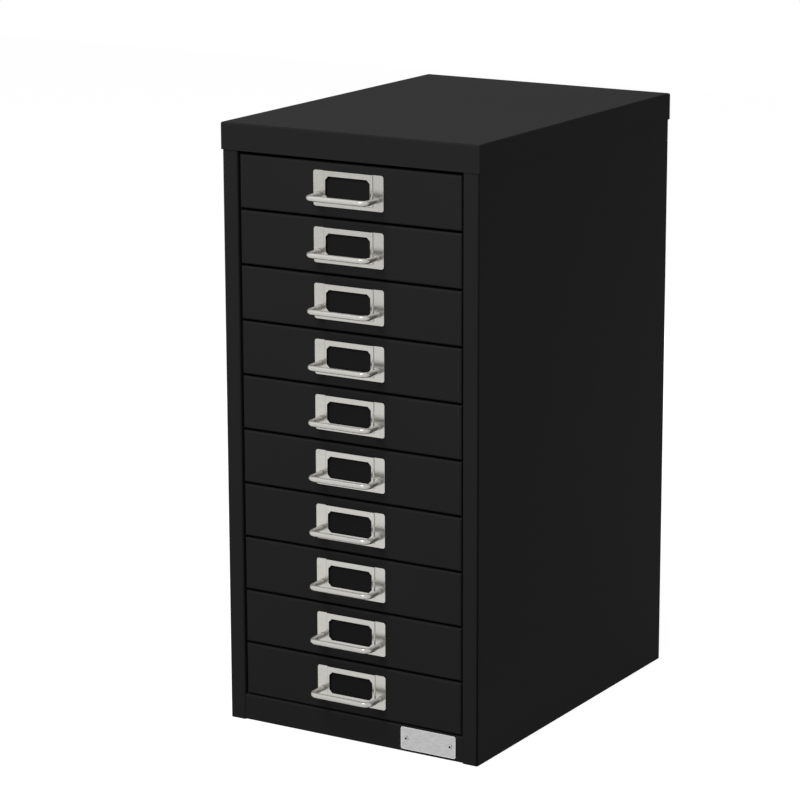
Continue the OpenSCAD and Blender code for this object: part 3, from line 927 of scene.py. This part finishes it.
# ---- Nuts ----
# Two chamfered hex nuts behind each front, zinc plated, clamp the pull and
# the label plate.

NUT_FLATS, NUT_T, NUT_BORE = 7.0 * MM, 3.2 * MM, 2.05 * MM
NUT_FACE_SHARE, NUT_CHAMFER, NUT_BREAK = 0.475, math.pi / 6, 0.12 * MM
ZINC_CLOUDS, ZINC_FINE = 700.0, 3500.0
ZINC_BLUE = (0.42, 0.44, 0.48, 1.0)
ZINC = (0.58, 0.59, 0.60, 1.0)
ZINC_EDGE = (0.72, 0.72, 0.73, 1.0)


def make_zinc():
    """Bright zinc plate with a faint bluish bloom."""
    plated, tree, shader = new_material("zinc_plated_steel")
    bloom = use(tree, grain, {"Coarse": ZINC_CLOUDS, "Fine": ZINC_FINE})["Height"]
    edges = use(tree, edge_highlight_and_wear, {"Radius": 0.3 * MM})["Mask"]
    feed(tree, shader, {
        "Base Color": mixed(tree, edges, mixed(tree, bloom, ZINC_BLUE, ZINC), ZINC_EDGE),
        "Roughness": ramp(tree, bloom, to_low=0.24, to_high=0.42),
        "Metallic": 1.0,
    })
    return plated


zinc = make_zinc()


def nuts_recipe():
    """A hexagon cut by a chamfer cone at each end and bored, set at both studs."""
    recipe, size = new_recipe("nuts", ("Flats", "Thickness", "Bore radius", "Spacing", "Y", "Z"))
    half = maths(recipe, "MULTIPLY", size["Flats"], 0.5)
    corner = maths(recipe, "DIVIDE", half, math.cos(math.pi / 6))
    prism = put(recipe, "GeometryNodeMeshCylinder", {
        "Vertices": 6, "Radius": corner, "Depth": size["Thickness"],
    })
    face = maths(recipe, "MULTIPLY", size["Flats"], NUT_FACE_SHARE)
    flare = maths(recipe, "DIVIDE", size["Thickness"], math.tan(NUT_CHAMFER))
    cone = put(recipe, "GeometryNodeMeshCone", {
        "Vertices": 48, "Radius Top": face, "Radius Bottom": maths(recipe, "ADD", face, flare),
        "Depth": size["Thickness"],
    })
    down, up = (
        put(recipe, "GeometryNodeTransform", {
            "Geometry": cone.outputs[0], "Rotation": (turn, 0.0, 0.0),
            "Translation": vector(recipe, z=maths(recipe, "MULTIPLY", size["Thickness"], shift)),
        })
        for turn, shift in ((0.0, -0.5), (math.pi, 0.5))
    )
    body = cut_out(recipe, prism.outputs[0], down.outputs[0], up.outputs[0], how="INTERSECT")
    bore = put(
        recipe, "GeometryNodeMeshCylinder",
        {
            "Vertices": 24, "Radius": size["Bore radius"],
            "Depth": maths(recipe, "MULTIPLY", size["Thickness"], 2.0),
        },
    )
    nut = cut_out(recipe, body, bore.outputs[0])
    first = maths(recipe, "MULTIPLY", size["Spacing"], -0.5)
    spots = put(recipe, "GeometryNodeMeshLine", {
        "Count": 2, "Start Location": vector(recipe, first, size["Y"], size["Z"]),
        "Offset": vector(recipe, x=size["Spacing"]),
    })
    threaded_on = put(
        recipe, "GeometryNodeInstanceOnPoints",
        {"Points": spots.outputs[0], "Instance": nut, "Rotation": (math.pi / 2, 0.0, 0.0)},
    )
    finish(recipe, threaded_on.outputs[0], zinc)
    return recipe


nut_recipe = nuts_recipe()
for number in DRAWERS:
    low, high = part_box(f"drawer_{number:02d}_nuts")
    nuts = make(
        f"nuts_{number:02d}", nut_recipe,
        {
            "Flats": NUT_FLATS, "Thickness": NUT_T, "Bore radius": NUT_BORE,
            "Spacing": LEG_SPACING, "Y": (low[1] + high[1]) / 2, "Z": (low[2] + high[2]) / 2,
        },
        edge=NUT_BREAK,
    )
    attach(nuts, f"drawer_{number:02d}")
    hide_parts(f"drawer_{number:02d}_nuts")


# ---- Studio ----
# A white floor and surroundings, a grey card, and the camera. The large key
# light in front isn't mirrored; the smaller glint light gives each bend of a
# pull its white spot, and the weak rear light shows the back.

FLOOR_SIZE, FLOOR_DROP = 8.0, 0.3 * MM
FLOOR_GREY, FLOOR_GLOW = (0.25, 0.25, 0.25, 1.0), (0.9, 0.9, 0.9, 1.0)
WHITE, SOFT_STRENGTH = (1.0, 1.0, 1.0, 1.0), 0.32
CARD_X, CARD_Y, CARD_FOOT, CARD_HEAD = 3.0, 0.9, 0.7, 3.5
CARD_GREY = (0.50, 0.50, 0.50, 1.0)


def add_floor():
    """White floor that shows as the white background but keeps a soft shadow."""
    bpy.ops.mesh.primitive_plane_add(size=FLOOR_SIZE, location=(0.0, 0.0, 0.0))
    floor = bpy.context.object
    floor.name = "floor"
    floor.data.transform(Matrix.Translation((0.0, 0.0, -FLOOR_DROP)))
    white = bpy.data.materials.new("white_floor")
    tree = empty_nodes(white)
    ray = put(tree, "ShaderNodeLightPath").outputs
    seen = maths(tree, "MAXIMUM", ray["Is Camera Ray"], ray["Is Glossy Ray"])
    lit = put(tree, "ShaderNodeBsdfDiffuse", {"Color": FLOOR_GREY})
    glow = put(tree, "ShaderNodeEmission", {"Color": FLOOR_GLOW, "Strength": seen})
    both = put(tree, "ShaderNodeAddShader", {0: lit.outputs[0], 1: glow.outputs[0]})
    put(tree, "ShaderNodeOutputMaterial", {"Surface": both.outputs[0]})
    floor.data.materials.append(white)


def add_world():
    """White wherever it is seen or mirrored, and a plain soft light everywhere else."""
    world = bpy.data.worlds.new("studio")
    bpy.context.scene.world = world
    tree = empty_nodes(world)
    ray = put(tree, "ShaderNodeLightPath").outputs
    mirrored = maths(tree, "MAXIMUM", ray["Is Glossy Ray"], ray["Is Transmission Ray"])
    seen = maths(tree, "MAXIMUM", ray["Is Camera Ray"], mirrored)
    strength = ramp(tree, seen, to_low=SOFT_STRENGTH)
    sky = put(tree, "ShaderNodeBackground", {"Color": WHITE, "Strength": strength})
    put(tree, "ShaderNodeOutputWorld", {"Surface": sky.outputs[0]})


def add_light(name, spot, aim, size, power, mirrored=True):
    """Square soft light, which shows in mirrors or not."""
    lamp = bpy.data.lights.new(name, "AREA")
    lamp.shape = "SQUARE"
    lamp.size = size
    lamp.energy = power
    light = new_object(name, lamp)
    light.location = spot
    light.visible_glossy = mirrored
    light.rotation_euler = (Vector(aim) - Vector(spot)).to_track_quat("-Z", "Y").to_euler()


def add_card():
    """Grey card behind the cabinet, seen only in mirrors, that keeps glare off the cap."""
    sheet = bpy.data.meshes.new("grey_card")
    sheet.from_pydata(
        [
            (-CARD_X, CARD_Y, CARD_FOOT), (CARD_X, CARD_Y, CARD_FOOT),
            (CARD_X, CARD_Y, CARD_HEAD), (-CARD_X, CARD_Y, CARD_HEAD),
        ],
        [], [(0, 1, 2, 3)],
    )
    card = new_object("grey_card", sheet)
    grey = bpy.data.materials.new("grey_card")
    tree = empty_nodes(grey)
    glow = put(tree, "ShaderNodeEmission", {"Color": CARD_GREY})
    put(tree, "ShaderNodeOutputMaterial", {"Surface": glow.outputs[0]})
    sheet.materials.append(grey)
    card.visible_camera = card.visible_diffuse = False
    card.visible_transmission = card.visible_shadow = False


add_floor()
add_world()
add_card()
add_light(
    "key_light", spot=(-0.05, -1.95, 1.95), aim=(0.0, -0.1, 0.38), size=1.6, power=53.0,
    mirrored=False,
)
add_light("glint_light", spot=(-0.35, -1.3, 2.1), aim=(0.0, -0.2, 0.35), size=0.8, power=18.0)
add_light("rear_light", spot=(-0.1, 1.9, 0.3), aim=(0.0, 0.19, 0.3), size=0.5, power=20.0)

CAMERA_AZIMUTH, CAMERA_ELEVATION, CAMERA_ROLL = 31.33, 13.65, -0.17
CAMERA_PLACE = (1.5591, -2.6601, 1.0493)
SENSOR_MM, FOCAL_MM = 36.0, 143.06


def add_camera():
    """Camera at its place, turned round, tilted up and rolled by the solved angles."""
    turn, rise, roll = (
        math.radians(angle) for angle in (CAMERA_AZIMUTH, CAMERA_ELEVATION, CAMERA_ROLL)
    )
    back = Vector((
        math.sin(turn) * math.cos(rise), -math.cos(turn) * math.cos(rise), math.sin(rise)
    ))
    right = Vector((math.cos(turn), math.sin(turn), 0.0))
    up = back.cross(right)
    right, up = (
        right * math.cos(roll) + up * math.sin(roll),
        up * math.cos(roll) - right * math.sin(roll),
    )
    lens = bpy.data.cameras.new("camera")
    lens.sensor_width = SENSOR_MM
    lens.lens = FOCAL_MM
    camera = new_object("camera", lens)
    facing = Matrix((right, up, back)).transposed().to_4x4()
    camera.matrix_world = Matrix.Translation(CAMERA_PLACE) @ facing
    bpy.context.scene.camera = camera


add_camera()
bpy.context.scene.view_settings.view_transform = "Standard"
